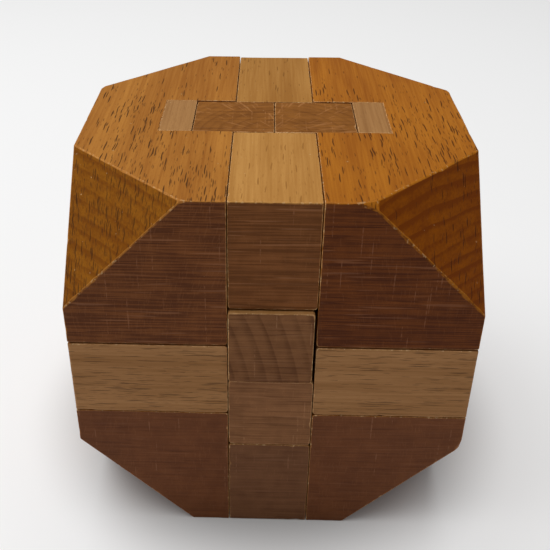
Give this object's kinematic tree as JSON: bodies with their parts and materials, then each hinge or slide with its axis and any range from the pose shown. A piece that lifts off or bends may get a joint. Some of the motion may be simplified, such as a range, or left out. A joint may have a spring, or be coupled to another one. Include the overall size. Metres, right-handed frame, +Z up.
{
  "type": "wooden burr puzzle",
  "caption": "Interlocking wooden puzzle in the shape of a cube with cut corners, locked by one plain square key stick.",
  "frame": {"origin": "middle of the flat base", "axes": "+Z up; +Y along the key stick from the front face to the rear one; +X to the right as seen from the front"},
  "size_m": [0.07, 0.0705, 0.0702],
  "materials": {
    "shell_wood": "clear varnished reddish-brown beech, worn edges",
    "pale_wood": "clear varnished pale beech",
    "tenon_wood": "clear varnished pale beech, cut across the grain",
    "upright_wood": "clear varnished brown beech, end grain showing",
    "key_wood": "lightly sealed pale beech, end grain showing",
    "walnut_stained_wood": "lightly sealed brown beech, end grain showing",
    "dark_wood": "clear varnished brown beech"
  },
  "bodies": {
    "puzzle": {"lower_stick": "walnut_stained_wood", "front_cross_stick": "dark_wood", "rear_cross_stick": "dark_wood", "left_upright_stick": "upright_wood", "right_upright_stick": "upright_wood", "upper_left_shell": "shell_wood", "upper_right_shell": "shell_wood", "lower_left_shell": "shell_wood", "lower_right_shell": "shell_wood", "upper_left_tenon": "tenon_wood", "upper_right_tenon": "tenon_wood", "lower_left_tenon": "tenon_wood", "lower_right_tenon": "tenon_wood", "top_front_block": "pale_wood", "top_rear_block": "pale_wood", "bottom_front_block": "pale_wood", "bottom_rear_block": "pale_wood", "front_left_block": "pale_wood", "front_right_block": "pale_wood", "rear_left_block": "pale_wood", "rear_right_block": "pale_wood"},
    "key": {"key_stick": "key_wood"}
  },
  "joints": [
    {"name": "key_slide", "type": "slide", "parent": "puzzle", "child": "key", "axis": [0, -1, 0], "range_m": [-0.072, 0.072]}
  ]
}
